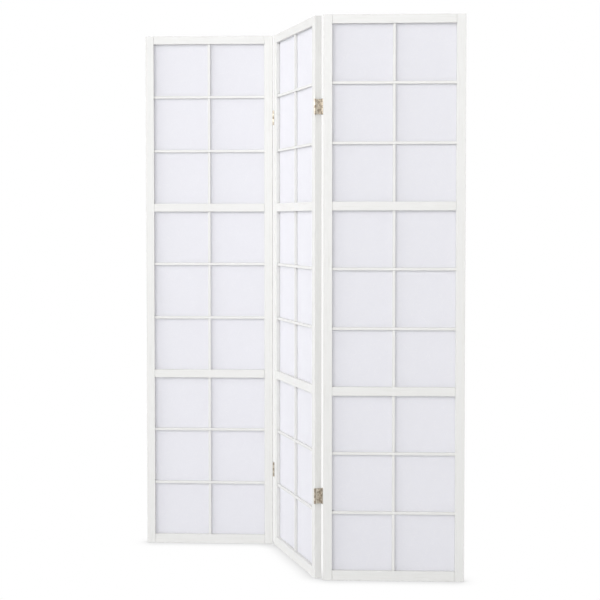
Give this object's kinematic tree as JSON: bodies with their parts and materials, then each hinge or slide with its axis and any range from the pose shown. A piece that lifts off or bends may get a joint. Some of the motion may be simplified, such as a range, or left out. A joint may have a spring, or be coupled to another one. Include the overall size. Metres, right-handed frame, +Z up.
{
  "type": "folding room divider screen",
  "caption": "Tall folding screen of hinged white lattice panels with paper behind the lattice, standing in a zig-zag.",
  "frame": {"origin": "on the floor under the centre of the middle panel, which is also the middle of the whole footprint", "axes": "+Z up; the outer panels run along X; the lattice side, the front, faces -Y"},
  "size_m": [1.0816, 0.463, 1.79],
  "materials": {
    "painted_wood": "satin white paint on softwood",
    "paper": "matt white fibre paper",
    "hinge_metal": "dull pale brass plate"
  },
  "bodies": {
    "middle_panel": {"left_fold_bottom_hinge_link": "hinge_metal", "left_fold_bottom_hinge_middle_leaf": "hinge_metal", "left_fold_top_hinge_link": "hinge_metal", "left_fold_top_hinge_middle_leaf": "hinge_metal", "middle_cross_bar_bottom_1": "painted_wood", "middle_cross_bar_bottom_2": "painted_wood", "middle_cross_bar_centre_1": "painted_wood", "middle_cross_bar_centre_2": "painted_wood", "middle_cross_bar_top_1": "painted_wood", "middle_cross_bar_top_2": "painted_wood", "middle_paper": "paper", "middle_rail_bottom": "painted_wood", "middle_rail_lower_middle": "painted_wood", "middle_rail_top": "painted_wood", "middle_rail_upper_middle": "painted_wood", "middle_stile_left": "painted_wood", "middle_stile_right": "painted_wood", "middle_upright_bar_bottom": "painted_wood", "middle_upright_bar_centre": "painted_wood", "middle_upright_bar_top": "painted_wood", "right_fold_bottom_hinge_link": "hinge_metal", "right_fold_bottom_hinge_middle_leaf": "hinge_metal", "right_fold_top_hinge_link": "hinge_metal", "right_fold_top_hinge_middle_leaf": "hinge_metal"},
    "left_panel": {"left_cross_bar_bottom_1": "painted_wood", "left_cross_bar_bottom_2": "painted_wood", "left_cross_bar_centre_1": "painted_wood", "left_cross_bar_centre_2": "painted_wood", "left_cross_bar_top_1": "painted_wood", "left_cross_bar_top_2": "painted_wood", "left_fold_bottom_hinge_outer_leaf": "hinge_metal", "left_fold_top_hinge_outer_leaf": "hinge_metal", "left_paper": "paper", "left_rail_bottom": "painted_wood", "left_rail_lower_middle": "painted_wood", "left_rail_top": "painted_wood", "left_rail_upper_middle": "painted_wood", "left_stile_left": "painted_wood", "left_stile_right": "painted_wood", "left_upright_bar_bottom": "painted_wood", "left_upright_bar_centre": "painted_wood", "left_upright_bar_top": "painted_wood"},
    "right_panel": {"right_cross_bar_bottom_1": "painted_wood", "right_cross_bar_bottom_2": "painted_wood", "right_cross_bar_centre_1": "painted_wood", "right_cross_bar_centre_2": "painted_wood", "right_cross_bar_top_1": "painted_wood", "right_cross_bar_top_2": "painted_wood", "right_fold_bottom_hinge_outer_leaf": "hinge_metal", "right_fold_top_hinge_outer_leaf": "hinge_metal", "right_paper": "paper", "right_rail_bottom": "painted_wood", "right_rail_lower_middle": "painted_wood", "right_rail_top": "painted_wood", "right_rail_upper_middle": "painted_wood", "right_stile_left": "painted_wood", "right_stile_right": "painted_wood", "right_upright_bar_bottom": "painted_wood", "right_upright_bar_centre": "painted_wood", "right_upright_bar_top": "painted_wood"}
  },
  "joints": [
    {"name": "left_fold", "type": "hinge", "parent": "middle_panel", "child": "left_panel", "pos_m": [-0.09049, 0.20832, 0.895], "axis": [0, 0, 1], "range_deg": [-69.6, 110.4]},
    {"name": "right_fold", "type": "hinge", "parent": "middle_panel", "child": "right_panel", "pos_m": [0.09049, -0.20832, 0.895], "axis": [0, 0, 1], "range_deg": [-69.6, 110.4]}
  ]
}
